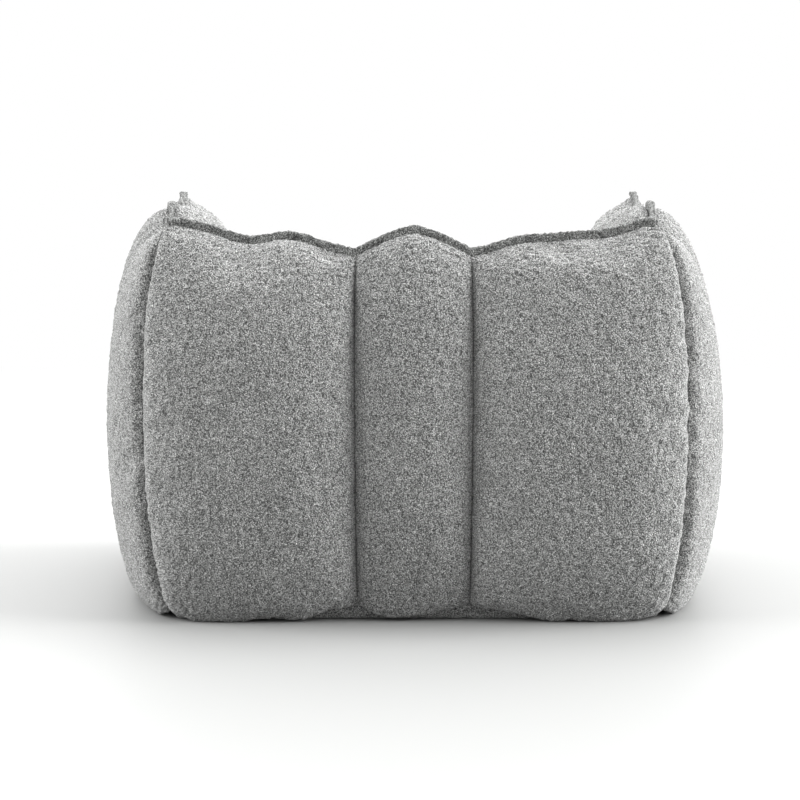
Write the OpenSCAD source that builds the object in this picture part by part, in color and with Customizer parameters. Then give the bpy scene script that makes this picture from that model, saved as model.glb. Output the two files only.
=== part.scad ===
// Bean bag armchair: a sewn boucle cover of bulging gores with a self-welt rim,
// drawn over four stuffed liners and closed by a zip underneath.
// Millimetres. +Z is up, the chair faces -Y, and the origin is on the floor under its middle.
// "Left" is the sitter's left, at +X.

/* [Chair] */
// Width over the widest bulge of the arms
chair_w = 1040; // [960:10:1120]
// Depth from the seat's front bulge to the back's rear bulge
chair_d = 900; // [840:10:960]
// Height of the corner ears above the floor
chair_h = 660; // [620:10:700]

/* [Seat] */
// Clear width between the arms where they meet the seat
seat_w = 504; // [470:2:540]
// Height of the seat's front rim
seat_h = 324; // [300:2:340]
// Height of the crease where the backrest meets the seat
crease_h = 290; // [270:2:300]

/* [Gores] */
// Width of the narrow middle gore of the back
mid_gore_w = 184; // [150:2:210]
// How far the rim dips at a gore seam, below the ears
rim_dip = 50; // [20:2:60]
// How far the gores bulge past their seams
bulge = 34; // [15:1:40]

/* [Cover] */
// Thickness of the boucle cloth
cloth_t = 2; // [1.5:0.5:2.5]
// Height of the self-welt along the rim
welt_h = 13; // [8:1:16]
// Thickness of the self-welt
welt_t = 6; // [4:1:7]

/* [Filling] */
// Thickness of the liner cloth
liner_t = 1.5; // [1:0.5:2]
// Thickness of the inner dividing walls
divider_t = 2; // [1:0.5:2]

/* [Zip] */
// Length of the zip chain
zip_l = 600; // [500:10:620]
// Width of each zip tape
tape_w = 18; // [16:1:20]

/* [Hidden] */

// Grid of one gore, across and up, and the steps of one rim curve
across = 8;
upward = 10;
// Cloth pulled back from each seam line, and the rim lines' distance from the welt's middle
seam_gap = 2.5;
rim_gap = 3.5;

// Colours
boucle = "DarkGray";
welt_grey = "Gray";
liner_white = "WhiteSmoke";
foam_tone = "Wheat";
zip_black = [0.16, 0.16, 0.17];

// ---- Places that the seams run through, on the left half, from the driving sizes ----
seat_x = seat_w / 2;
gore_x = mid_gore_w / 2;
ear_tip = 7;
rim_z = chair_h - welt_h - ear_tip; // the rim line at the ears, under the welt
dip_z = rim_z - rim_dip;           // the rim line at the gore seams
rim_y = 0.413 * chair_d;           // the back's rim line
ear_x = 0.373 * chair_w;
ear_y = 0.391 * chair_d;
arm_x = 0.39 * chair_w;            // the arms' rim line
seam_y = [0.106 * chair_d, -0.083 * chair_d]; // the arms' two gore seams, rear and front
front_y = -0.391 * chair_d;        // the arms' front ear
crease_y = 0.167 * chair_d;        // the seat's rear crease
lip_y = -0.442 * chair_d;          // the seat's front rim
hem_z = 20;                        // the seam between cover and base
hem_x = 0.440 * chair_w;
hem_y = 0.418 * chair_d;

ear = [ear_x, ear_y, rim_z];
ear_front = [arm_x, front_y, rim_z];
back_dip = [gore_x, rim_y, dip_z];
arm_dips = [for (y = seam_y) [arm_x, y, dip_z]];
hem_ear = [0.377 * chair_w, 0.413 * chair_d, hem_z];
hem_back = [gore_x - 2, hem_y, hem_z + 5];
hem_arms = [for (y = seam_y) [hem_x, y, hem_z]];
hem_front = [0.409 * chair_w, -0.413 * chair_d, hem_z];
hem_inner = [seat_x - 2, -0.440 * chair_d, hem_z];
hem_seat = [gore_x - 2, -0.449 * chair_d, hem_z];
crease_corner = [seat_x - 2, crease_y, crease_h];
lip_corner = [seat_x + 4, lip_y, seat_h];
lip_seam = [gore_x - 2, lip_y - 8, seat_h];
crease_seam = [gore_x - 6, crease_y, crease_h - 2];

// ---- Curves ----
function mix(a, b, t) = a + (b - a) * t;
function bezier(p, t) =
    let (s = 1 - t)
    p[0] * s * s * s + p[1] * 3 * s * s * t + p[2] * 3 * s * t * t + p[3] * t * t * t;
function run(p, steps) = [for (i = [0:steps]) bezier(p, i / steps)];
// A rim line from a to b: rise is the hump in its middle, lean tilts that hump towards a
function rim(a, b, rise, lean, steps = across) =
    [for (i = [0:steps])
        let (t = i / steps)
        mix(a, b, t) + [0, 0, rise * sin(180 * t) + lean * sin(360 * t)]];
function shifted(line, a, b) = [for (i = [0:len(line) - 1]) line[i] + mix(a, b, i / (len(line) - 1))];
function reversed(line) = [for (i = [len(line) - 1:-1:0]) line[i]];
function across_x(line) = [for (p = line) [-p[0], p[1], p[2]]];
// The part of a line from its share a to its share b, in the given number of steps
function at(line, t) =
    let (s = t * (len(line) - 1), i = min(floor(s), len(line) - 2))
    mix(line[i], line[i + 1], s - i);
function stretch(line, a, b, steps) = [for (i = [0:steps]) at(line, mix(a, b, i / steps))];

// ---- Seam lines, bottom to top or rear to front ----
corner_seam = run([hem_ear, [0.440 * chair_w, 0.461 * chair_d, 0.06 * chair_h],
    [0.459 * chair_w, 0.450 * chair_d, 0.91 * chair_h], ear], upward);
back_seam = run([hem_back, [gore_x + 2, 0.480 * chair_d, 0.18 * chair_h],
    [gore_x + 5, 0.476 * chair_d, 0.82 * chair_h], back_dip], upward);
rear_seam = run([hem_arms[0], [0.470 * chair_w, seam_y[0] + 5, 0.08 * chair_h],
    [0.516 * chair_w, seam_y[0] + 5, 0.86 * chair_h], arm_dips[0]], upward);
front_seam = run([hem_arms[1], [0.480 * chair_w, seam_y[1], 0.08 * chair_h],
    [0.526 * chair_w, seam_y[1], 0.86 * chair_h], arm_dips[1]], upward);
outer_front_seam = run([hem_front, [0.469 * chair_w, -0.472 * chair_d, 0.18 * chair_h],
    [0.482 * chair_w, -0.439 * chair_d, 0.83 * chair_h], ear_front], upward);
inner_corner_seam = run([crease_corner, [seat_x + 10, crease_y + 20, 0.67 * chair_h],
    [0.317 * chair_w, 0.291 * chair_d, 0.91 * chair_h], ear], upward);
inner_back_seam = run([crease_seam, [gore_x - 4, crease_y + 35, 0.67 * chair_h],
    [gore_x - 1, 0.317 * chair_d, 0.886 * chair_h], back_dip], upward);
inner_front_upper = run([lip_corner, [seat_x + 16, lip_y + 3, 0.71 * chair_h],
    [0.322 * chair_w, front_y - 20, 0.92 * chair_h], ear_front], upward);
inner_front_lower = run([hem_inner, [seat_x, lip_y - 32, 0.15 * chair_h],
    [seat_x, lip_y - 30, 0.36 * chair_h], lip_corner], upward);
seat_front_seam = run([hem_seat, [gore_x, lip_y - 42, 0.15 * chair_h],
    [gore_x, lip_y - 42, 0.38 * chair_h], lip_seam], upward);

// The crease where an arm meets the seat, rear to front, and the shares where gore seams meet it
arm_crease = run([crease_corner, [seat_x, 0.05 * chair_d, crease_h + 2],
    [seat_x + 4, -0.2 * chair_d, crease_h + 16], lip_corner], 2 * upward);
crease_shares = [0, 0.365, 0.607, 1];
inner_arm_seams = [for (i = [0:1])
    let (foot = at(arm_crease, crease_shares[i + 1]))
    run([foot, foot + [10, 15, 150], arm_dips[i] + [-72, -20, 8], arm_dips[i]], upward)];

// ---- One gore: a sheet of cloth between four seam lines, which bulges along its own normal ----
// From outside, the lines run left to right and bottom to top.
function coons(bottom, top, left, right) =
    let (nu = len(bottom) - 1, nv = len(left) - 1)
    [for (j = [0:nv]) [for (i = [0:nu])
        let (u = i / nu, v = j / nv)
        mix(bottom[i], top[i], v) + mix(left[j], right[j], u)
            - mix(mix(bottom[0], bottom[nu], u), mix(top[0], top[nu], u), v)]];
function normal_at(g, i, j) =
    let (nu = len(g[0]) - 1, nv = len(g) - 1,
        du = g[j][min(i + 1, nu)] - g[j][max(i - 1, 0)],
        dv = g[min(j + 1, nv)][i] - g[max(j - 1, 0)][i],
        n = cross(du, dv))
    n / norm(n);
function bulged(g, height) =
    let (nu = len(g[0]) - 1, nv = len(g) - 1)
    [for (j = [0:nv]) [for (i = [0:nu])
        g[j][i] + normal_at(g, i, j) * height
            * pow(sin(180 * i / nu), 0.75) * pow(sin(180 * j / nv), 0.75)]];
// The sheet's edge points drawn in from the seam lines
function drawn_in(g, gap) =
    let (nu = len(g[0]) - 1, nv = len(g) - 1)
    [for (j = [0:nv]) [for (i = [0:nu])
        let (iu = i == 0 ? 1 : i == nu ? nu - 1 : i, jv = j == 0 ? 1 : j == nv ? nv - 1 : j,
            along = g[j][iu] - g[j][i], up = g[jv][i] - g[j][i])
        g[j][i] + (iu == i ? [0, 0, 0] : along / norm(along) * gap)
            + (jv == j ? [0, 0, 0] : up / norm(up) * gap)]];

module sheet(g, t) {
    nu = len(g[0]) - 1;
    nv = len(g) - 1;
    n = (nu + 1) * (nv + 1);
    function id(i, j) = j * (nu + 1) + i;
    outer = [for (row = g) each row];
    inner = [for (j = [0:nv]) for (i = [0:nu]) g[j][i] - normal_at(g, i, j) * t];
    border = concat([for (i = [0:nu - 1]) id(i, 0)], [for (j = [0:nv - 1]) id(nu, j)],
        [for (i = [nu:-1:1]) id(i, nv)], [for (j = [nv:-1:1]) id(0, j)]);
    faces = concat(
        [for (j = [0:nv - 1]) for (i = [0:nu - 1]) each [
            [id(i, j), id(i, j + 1), id(i + 1, j + 1)], [id(i, j), id(i + 1, j + 1), id(i + 1, j)],
            [n + id(i, j), n + id(i + 1, j + 1), n + id(i, j + 1)],
            [n + id(i, j), n + id(i + 1, j), n + id(i + 1, j + 1)]]],
        [for (k = [0:len(border) - 1])
            let (a = border[k], b = border[(k + 1) % len(border)])
            each [[a, b, n + b], [a, n + b, n + a]]]);
    polyhedron(concat(outer, inner), faces, convexity = 6);
}

module gore(bottom, top, left, right, height = bulge) {
    color(boucle) sheet(drawn_in(bulged(coons(bottom, top, left, right), height), seam_gap), cloth_t);
}

module mirrored(right) {
    if (right) mirror([1, 0, 0]) children();
    else children();
}

// ---- Rim lines of the outer and inner gores, either side of the welt ----
back_out = [0, rim_gap, 0];
back_in = [0, -rim_gap, 0];
arm_out = [rim_gap, 0, 0];
arm_in = [-rim_gap, 0, 0];
rear_out = back_out + arm_out;
rear_in = back_in + arm_in;
front_corner_out = arm_out - back_out;
front_corner_in = arm_in - back_out;
back_rim = rim(ear, back_dip, 0, -7);
centre_rim = rim(back_dip, across_x([back_dip])[0], 0.74 * rim_dip, 0);
arm_rise = rim_dip + 3;           // the hump between the arms' two dips
arm_rims = [rim(ear, arm_dips[0], 0, -10), rim(arm_dips[0], arm_dips[1], arm_rise, 0),
    rim(arm_dips[1], ear_front, 0, 10)];
outer_lines = [corner_seam, rear_seam, front_seam, outer_front_seam];
inner_lines = [inner_corner_seam, inner_arm_seams[0], inner_arm_seams[1], inner_front_upper];
hem_line = [hem_ear, hem_arms[0], hem_arms[1], hem_front];
outer_shifts = [rear_out, arm_out, arm_out, front_corner_out];
inner_shifts = [rear_in, arm_in, arm_in, front_corner_in];

// A seam line whose top end lies to one side of the welt: the shift fades out downwards
function eased(line, by) =
    let (n = len(line) - 1)
    [for (i = [0:n]) line[i] + by * pow(i / n, 3)];

module outer_back_side(right) {
    mirrored(right) gore(rim(hem_ear, hem_back, 2, 0), shifted(back_rim, rear_out, back_out),
        eased(corner_seam, rear_out), eased(back_seam, back_out), 1.25 * bulge);
}
module outer_back_centre() {
    gore(rim(hem_back, across_x([hem_back])[0], -6, 0), shifted(centre_rim, back_out, back_out),
        eased(back_seam, back_out), across_x(eased(back_seam, back_out)), 0.75 * bulge);
}
module inner_back_side(right) {
    mirrored(right) gore(rim(crease_seam, crease_corner, 0, 0), shifted(reversed(back_rim), back_in, rear_in),
        eased(inner_back_seam, back_in), eased(inner_corner_seam, rear_in));
}
module inner_back_centre() {
    gore(rim(across_x([crease_seam])[0], crease_seam, 0, 0), shifted(reversed(centre_rim), back_in, back_in),
        across_x(eased(inner_back_seam, back_in)), eased(inner_back_seam, back_in), 0.8 * bulge);
}
// Arm gores count from the rear: 0, 1 and 2
module outer_arm(i, right) {
    mirrored(right) gore(rim(hem_line[i + 1], hem_line[i], 3, 0),
        shifted(reversed(arm_rims[i]), outer_shifts[i + 1], outer_shifts[i]),
        eased(outer_lines[i + 1], outer_shifts[i + 1]), eased(outer_lines[i], outer_shifts[i]),
        [0.9, 0.65, 0.92][i] * bulge);
}
module inner_arm(i, right) {
    foot = shifted(stretch(arm_crease, crease_shares[i], crease_shares[i + 1], across), [2, 0, 3], [2, 0, 3]);
    mirrored(right) gore(foot, shifted(arm_rims[i], inner_shifts[i], inner_shifts[i + 1]),
        eased(inner_lines[i], inner_shifts[i]), eased(inner_lines[i + 1], inner_shifts[i + 1]),
        [0.7, 0.65, 0.8][i] * bulge);
}
// The leaf-shaped face of an arm, which narrows to the front ear
module arm_front(right) {
    face_left = concat([for (i = [0:upward / 2]) at(inner_front_lower, i / upward * 2)],
        [for (i = [1:upward / 2]) at(inner_front_upper, i / upward * 2)]);
    apart = rim_gap + 4;
    mirrored(right) gore(rim(hem_inner, hem_front, 0, 0),
        [for (i = [0:across]) ear_front + [apart * (2 * i / across - 1), -5, 0]],
        eased(face_left, [-apart, -5, 0]), eased(outer_front_seam, [apart, -5, 0]), 1.1 * bulge);
}
seat_crease = rim(crease_seam, crease_corner, 0, 0);
seat_lip = rim(lip_seam, lip_corner, 12, 0);
centre_lip = rim(across_x([lip_seam])[0], lip_seam, 12, 0);
top_in = [0, 5, 0];
front_out = [0, -3.5, -2];
module seat_top_side(right) {
    seat_seam = run([lip_seam, lip_seam + [0, 120, 14], crease_seam + [0, -150, 20], crease_seam], upward);
    mirrored(right) gore(shifted(seat_lip, top_in, top_in), seat_crease,
        shifted(seat_seam, top_in, [0, 0, 0]), reversed(stretch(arm_crease, 0, 1, upward)), 0.6 * bulge);
}
module seat_top_centre() {
    seat_seam = run([lip_seam, lip_seam + [0, 120, 14], crease_seam + [0, -150, 20], crease_seam], upward);
    gore(shifted(centre_lip, top_in, top_in), rim(across_x([crease_seam])[0], crease_seam, 0, 0),
        across_x(shifted(seat_seam, top_in, [0, 0, 0])), shifted(seat_seam, top_in, [0, 0, 0]), 0.6 * bulge);
}
module seat_front_side(right) {
    mirrored(right) gore(rim(hem_seat, hem_inner, 0, 0), shifted(seat_lip, front_out, front_out),
        eased(seat_front_seam, front_out), eased(inner_front_lower, front_out), 0.65 * bulge);
}
module seat_front_centre() {
    gore(rim(across_x([hem_seat])[0], hem_seat, 0, 0), shifted(centre_lip, front_out, front_out),
        across_x(eased(seat_front_seam, front_out)), eased(seat_front_seam, front_out), 0.55 * bulge);
}

// ---- The self-welt: a folded ribbon that stands on the rim line ----
// side is the level direction across the ribbon
// tips tells which ends rise to a point
module ribbon(line, side, tips) {
    n = len(line) - 1;
    rings = [for (i = [0:n])
        let (s = side * welt_t / 2, foot = line[i] + [0, 0, 1.5],
            tip = max(tips[0] - i / 1.5, tips[1] - (n - i) / 1.5, 0) * ear_tip,
            h = [0, 0, welt_h - 1.5 + tip])
        [foot - s, foot + s, foot + s * 0.8 + h * 0.8, foot + s * 0.3 + h,
            foot - s * 0.3 + h, foot - s * 0.8 + h * 0.8]];
    m = len(rings[0]);
    color(welt_grey) polyhedron([for (r = rings) each r],
        concat([[for (k = [0:m - 1]) k]], [[for (k = [m - 1:-1:0]) n * m + k]],
            [for (i = [0:n - 1]) for (k = [0:m - 1])
                let (a = i * m + k, b = i * m + (k + 1) % m)
                each [[a, a + m, b + m], [a, b + m, b]]]),
        convexity = 6);
}
fine = 2 * across;
back_welt_line = let (half = concat(rim(ear, back_dip, 0, -7, fine),
        [for (i = [1:across]) rim(back_dip, across_x([back_dip])[0], 0.74 * rim_dip, 0, fine)[i]]))
    concat(half, reversed(across_x([for (i = [0:len(half) - 2]) half[i]])));
module back_welt() {
    ribbon(back_welt_line, [0, 1, 0], [1, 1]);
}
module arm_welt(right) {
    whole = concat(rim(ear, arm_dips[0], 0, -10, fine),
        [for (i = [1:fine]) rim(arm_dips[0], arm_dips[1], arm_rise, 0, fine)[i]],
        [for (i = [1:fine]) rim(arm_dips[1], ear_front, 0, 10, fine)[i]]);
    // The first stretch stops short of the back's welt
    line = concat([whole[0] + (whole[1] - whole[0]) * 0.3], [for (i = [1:len(whole) - 1]) whole[i]]);
    mirrored(right) ribbon(line, [-1, 0, 0], [0, 1]);
}
module seat_welt() {
    half = concat([for (i = [across:-1:1]) rim(lip_seam, lip_corner, 12, 0)[i]],
        [for (i = [0:across / 2]) rim(lip_seam, across_x([lip_seam])[0], 12, 0)[i]]);
    line = concat(half, reversed(across_x([for (i = [0:len(half) - 2]) half[i]])));
    inner = [for (i = [1:len(line) - 2]) line[i]];
    ribbon(inner, [0, 1, 0], [0, 0]);
}

// ---- Base: two shallow trays of cloth either side of the zip ----
base_h = 11;
zip_y = 0.289 * chair_d;
zip_slot = 10;                     // from the chain's middle to the base cloth
hem_fold = 4;                      // the doubled cloth round each tray
// Half of the outline, from the front's middle round to the back's middle
base_half = [[0, hem_seat[1] + 5], [hem_inner[0], hem_inner[1] + 5], [hem_front[0] - 30, hem_front[1] + 3],
    [hem_front[0] - 3, hem_front[1] + 28], [hem_x - 8, seam_y[1]], [hem_x - 8, seam_y[0]],
    [hem_ear[0] - 2, hem_ear[1] - 34], [hem_ear[0] - 30, hem_ear[1] - 4], [0, hem_y - 5]];
base_line = concat(base_half,
    reversed([for (i = [1:len(base_half) - 2]) [-base_half[i][0], base_half[i][1]]]));
inner_line = inset_points(base_line, hem_fold);
slot_x = zip_l / 2 + 14;           // beyond this the two panels meet
meeting_gap = 0.3;
// side is -1 for the front panel and 1 for the rear one
module base_tray(side) {
    far = chair_d;
    color(boucle) difference() {
        linear_extrude(base_h) intersection() {
            polygon(base_line);
            translate([-chair_w / 2, side > 0 ? zip_y + meeting_gap : zip_y - meeting_gap - far])
                square([chair_w, far]);
        }
        translate([-slot_x, zip_y - zip_slot, -1]) cube([2 * slot_x, 2 * zip_slot, base_h + 2]);
        intersection() {
            translate([0, 0, cloth_t + 1]) linear_extrude(base_h) polygon(inner_line);
            translate([-chair_w / 2, side > 0 ? zip_y + zip_slot + hem_fold : zip_y - zip_slot - hem_fold - far, 0])
                cube([chair_w, far, 2 * base_h]);
        }
    }
}
module base_panel_front() { base_tray(-1); }
module base_panel_rear() { base_tray(1); }

// ---- Zip: two tapes on top of the trays' edges, the chain under them and its slider ----
tape_t = 1;
coil_w = 3.2;
coil_t = 2.4;
chain_gap = 0.9;                   // half the space between the two coils, for the slider's blade
slider_l = 20;
slider_w = 15;
plate_t = 1.6;
clear = 0.35;
module zip_tape(side) {
    color(zip_black) translate([-zip_l / 2 - 12, zip_y + (side > 0 ? chain_gap : -chain_gap - tape_w), base_h])
        cube([zip_l + 24, tape_w, tape_t]);
}
module zip_coil() {
    color(zip_black) for (side = [-1, 1])
        translate([-zip_l / 2, zip_y + (side > 0 ? chain_gap : -chain_gap - coil_w), base_h - coil_t])
            cube([zip_l, coil_w, coil_t]);
}
module zip_end_stops() {
    color("Silver") for (end = [-1, 1])
        translate([end * (zip_l / 2 + 2.5) - 2, zip_y - 5, base_h - 3]) cube([4, 10, 3]);
}
module zip_slider() {
    x0 = zip_l / 2 - slider_l;
    low = base_h - coil_t - clear - plate_t;
    high = base_h + tape_t + clear;
    coil_edge = chain_gap + coil_w + clear;
    color("DimGray") {
        difference() {
            translate([x0, zip_y - slider_w / 2, low]) cube([slider_l, slider_w, high + plate_t - low]);
            // the tunnel for the chain, and the side slots for the tapes
            translate([x0 - 1, zip_y - coil_edge, low + plate_t])
                cube([slider_l + 2, 2 * coil_edge, high - low - plate_t]);
            translate([x0 - 1, zip_y - slider_w, base_h - clear])
                cube([slider_l + 2, 2 * slider_w, high - base_h + clear]);
        }
        translate([x0 + slider_l / 2 - 3, zip_y - 0.55, low + plate_t]) cube([6, 1.1, high - low - plate_t]);
        // a bridge for a hook, in place of a pull
        difference() {
            translate([x0 + 5, zip_y - 2, low - 3]) cube([10, 4, 3]);
            translate([x0 + 7, zip_y - 3, low - 1.8]) cube([6, 6, 1.8]);
        }
    }
}

// ---- Stuffed liners: the common space of a front, a side and a plan outline ----
function inset_points(points, e) =
    let (lo = [for (k = [0:1]) min([for (p = points) p[k]])],
        hi = [for (k = [0:1]) max([for (p = points) p[k]])],
        mid = (lo + hi) / 2, s = [for (k = [0:1]) 1 - 2 * e / (hi[k] - lo[k])])
    [for (p = points) [mid[0] + (p[0] - mid[0]) * s[0], mid[1] + (p[1] - mid[1]) * s[1]]];
// front is in x and z, side in y and z, and plan in x and y
module block(front, side, plan, e) {
    intersection() {
        translate([0, chair_d, 0]) rotate([90, 0, 0]) linear_extrude(2 * chair_d) polygon(inset_points(front, e));
        translate([-chair_w, 0, 0]) rotate([90, 0, 90]) linear_extrude(2 * chair_w) polygon(inset_points(side, e));
        linear_extrude(chair_h) polygon(inset_points(plan, e));
    }
}
liner_z = 14;                      // the seat and arm liners' underside, over the base panels
tunnel_z = 17;                     // the back liner's underside, over the zip
top_z = dip_z - 22;
wall = divider_t / 2 + 1;          // from a dividing wall's middle to the liners beside it
back_y = crease_y + 6;             // the rear dividing wall's middle
mitre_x = hem_ear[0] - 12;         // the corner walls run from the seat's rear corner to here
mitre_y = hem_ear[1] - 18;

back_front = [[-mitre_x, tunnel_z], [mitre_x, tunnel_z], [mitre_x, 0.62 * chair_h],
    [0.34 * chair_w, top_z], [-0.34 * chair_w, top_z], [-mitre_x, 0.62 * chair_h]];
back_side = [[back_y + wall, tunnel_z], [hem_y - 14, tunnel_z], [hem_y, 60], [0.445 * chair_d, 0.3 * chair_h],
    [0.445 * chair_d, 0.6 * chair_h], [rim_y, 0.8 * chair_h], [rim_y - 12, top_z], [rim_y - 40, top_z],
    [0.27 * chair_d, 0.72 * chair_h], [back_y + 38, 0.57 * chair_h], [back_y + wall, crease_h]];
back_plan = [[-seat_x + 8, back_y + wall], [seat_x - 8, back_y + wall], [mitre_x - 8, mitre_y],
    [mitre_x - 30, 0.45 * chair_d], [-mitre_x + 30, 0.45 * chair_d], [-mitre_x + 8, mitre_y]];
arm_side = [[-0.39 * chair_d, liner_z], [0.40 * chair_d, liner_z], [0.44 * chair_d, 60],
    [0.44 * chair_d, 0.6 * chair_h], [0.35 * chair_d, top_z], [front_y + 30, top_z],
    [-0.435 * chair_d, 0.68 * chair_h], [-0.435 * chair_d, 60]];
arm_front_line = [[seat_x + wall, liner_z], [hem_x - 42, liner_z], [hem_x - 20, 60], [0.45 * chair_w, 0.25 * chair_h],
    [0.45 * chair_w, 0.6 * chair_h], [arm_x + 24, 0.8 * chair_h], [arm_x + 4, top_z], [arm_x - 16, top_z],
    [0.30 * chair_w, 0.73 * chair_h], [seat_x + 26, 0.6 * chair_h], [seat_x + wall, crease_h]];
arm_plan = [[seat_x + wall, -0.41 * chair_d], [0.385 * chair_w, -0.41 * chair_d], [0.435 * chair_w, -0.37 * chair_d],
    [0.46 * chair_w, -0.1 * chair_d], [0.43 * chair_w, 0.16 * chair_d], [mitre_x + 2, mitre_y - 10],
    [seat_x + wall, back_y - 10]];
seat_line = [[-seat_x + wall, liner_z], [seat_x - wall, liner_z], [seat_x - wall, crease_h - 20],
    [seat_x - 40, crease_h - 6], [-seat_x + 40, crease_h - 6], [-seat_x + wall, crease_h - 20]];
seat_side = [[-0.42 * chair_d, liner_z], [back_y - wall, liner_z], [back_y - wall, crease_h - 22],
    [back_y - 40, crease_h - 8], [lip_y + 40, crease_h - 4], [lip_y + 6, crease_h - 40],
    [-0.45 * chair_d, 0.25 * chair_h], [-0.445 * chair_d, 60]];
seat_plan = [[-seat_x + wall, -0.45 * chair_d], [seat_x - wall, -0.45 * chair_d],
    [seat_x - wall, back_y], [-seat_x + wall, back_y]];

module liner(front, side, plan) {
    color(liner_white) difference() {
        block(front, side, plan, 0);
        block(front, side, plan, liner_t);
    }
}
module filling(front, side, plan) {
    color(foam_tone) block(front, side, plan, liner_t + 0.8);
}

// ---- Dividing walls inside the cover, from the seat's creases down to the base ----
divider_z = [liner_z, crease_h - 16];
module divider_back() {
    color(liner_white) translate([-seat_x + 4, back_y - divider_t / 2, divider_z[0]])
        cube([seat_w - 8, divider_t, divider_z[1] - divider_z[0]]);
}
module divider_side(right) {
    mirrored(right) color(liner_white) translate([seat_x - divider_t / 2, lip_y + 14, divider_z[0]])
        cube([divider_t, back_y - lip_y - 24, divider_z[1] - divider_z[0]]);
}
module corner_divider(right) {
    start = [seat_x + 3, back_y - 1];
    across_corner = [mitre_x - 4, mitre_y - 6] - start;
    mirrored(right) color(liner_white) translate([start[0], start[1], tunnel_z])
        rotate([0, 0, atan2(across_corner[1], across_corner[0])])
            translate([0, -divider_t / 2, 0]) cube([norm(across_corner), divider_t, crease_h - 16 - tunnel_z]);
}

outer_back_side(false);  // outer_back_left
outer_back_centre();
outer_back_side(true);  // outer_back_right
outer_arm(0, false);  // outer_arm_left_rear
outer_arm(1, false);  // outer_arm_left_mid
outer_arm(2, false);  // outer_arm_left_front
outer_arm(0, true);  // outer_arm_right_rear
outer_arm(1, true);  // outer_arm_right_mid
outer_arm(2, true);  // outer_arm_right_front
arm_front(false);  // arm_front_left
arm_front(true);  // arm_front_right
inner_back_side(false);  // inner_back_left
inner_back_centre();
inner_back_side(true);  // inner_back_right
inner_arm(0, false);  // inner_arm_left_rear
inner_arm(1, false);  // inner_arm_left_mid
inner_arm(2, false);  // inner_arm_left_front
inner_arm(0, true);  // inner_arm_right_rear
inner_arm(1, true);  // inner_arm_right_mid
inner_arm(2, true);  // inner_arm_right_front
seat_top_side(false);  // seat_top_left
seat_top_centre();
seat_top_side(true);  // seat_top_right
seat_front_side(false);  // seat_front_left
seat_front_centre();
seat_front_side(true);  // seat_front_right
base_panel_front();
base_panel_rear();
back_welt();
arm_welt(false);  // arm_welt_left
arm_welt(true);  // arm_welt_right
seat_welt();
zip_tape(-1);  // zip_tape_front
zip_tape(1);  // zip_tape_rear
zip_coil();
zip_end_stops();
zip_slider();
liner(back_front, back_side, back_plan);  // liner_back
liner(arm_front_line, arm_side, arm_plan);  // liner_arm_left
mirror([1, 0, 0]) liner(arm_front_line, arm_side, arm_plan);  // liner_arm_right
liner(seat_line, seat_side, seat_plan);  // liner_seat
filling(back_front, back_side, back_plan);  // filling_back
filling(arm_front_line, arm_side, arm_plan);  // filling_arm_left
mirror([1, 0, 0]) filling(arm_front_line, arm_side, arm_plan);  // filling_arm_right
filling(seat_line, seat_side, seat_plan);  // filling_seat
divider_back();
divider_side(false);  // divider_left
divider_side(true);  // divider_right
corner_divider(false);  // corner_divider_left
corner_divider(true);  // corner_divider_right
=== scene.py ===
# Bean bag armchair: the looks of its sewn boucle cover, welts, base, zip and stuffed liners.
# Metres. The chair faces -Y, "left" is the sitter's left at +X, and the floor is z = 0.
import math

import bpy
import numpy as np
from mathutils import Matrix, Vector
from mathutils.kdtree import KDTree


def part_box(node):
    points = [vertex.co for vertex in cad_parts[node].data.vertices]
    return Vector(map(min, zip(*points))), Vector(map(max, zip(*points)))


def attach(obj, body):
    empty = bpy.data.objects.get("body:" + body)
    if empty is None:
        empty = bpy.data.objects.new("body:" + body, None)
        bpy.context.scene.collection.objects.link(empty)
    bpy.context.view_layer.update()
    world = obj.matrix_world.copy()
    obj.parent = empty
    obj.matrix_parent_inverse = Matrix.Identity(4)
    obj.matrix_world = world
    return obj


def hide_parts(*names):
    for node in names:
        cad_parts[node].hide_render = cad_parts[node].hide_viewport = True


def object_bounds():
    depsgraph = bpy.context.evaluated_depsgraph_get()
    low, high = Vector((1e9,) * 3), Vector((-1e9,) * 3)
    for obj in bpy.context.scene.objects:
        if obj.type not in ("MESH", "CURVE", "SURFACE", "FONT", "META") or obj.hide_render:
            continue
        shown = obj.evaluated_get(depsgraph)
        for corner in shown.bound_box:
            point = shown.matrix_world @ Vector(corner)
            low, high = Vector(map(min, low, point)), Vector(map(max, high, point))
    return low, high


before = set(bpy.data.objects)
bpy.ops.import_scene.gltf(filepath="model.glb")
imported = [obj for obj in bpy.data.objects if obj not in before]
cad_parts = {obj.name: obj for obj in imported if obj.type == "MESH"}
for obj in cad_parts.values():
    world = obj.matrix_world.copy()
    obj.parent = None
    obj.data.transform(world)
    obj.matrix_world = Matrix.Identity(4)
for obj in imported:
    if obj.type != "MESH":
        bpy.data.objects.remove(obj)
cad_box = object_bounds()

MM = 0.001
W = cad_box[1].x - cad_box[0].x
D = cad_box[1].y - cad_box[0].y
H = cad_box[1].z - cad_box[0].z
random = np.random.default_rng(7)
scene = bpy.context.scene


# ---- curves and seam lines
def at(x, y, z):
    """A point from shares of the chair's width, depth and height."""
    return np.array([x * W, y * D, z * H])


def shift(x, y, z):
    """A shift in millimetres."""
    return np.array([x, y, z]) * MM


def bezier(p, steps):
    """A cubic curve from p[0] to p[3], drawn by p[1] and p[2]."""
    t = np.linspace(0, 1, steps + 1)[:, None]
    s = 1 - t
    return p[0] * s**3 + 3 * p[1] * s * s * t + 3 * p[2] * s * t * t + p[3] * t**3


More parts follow.
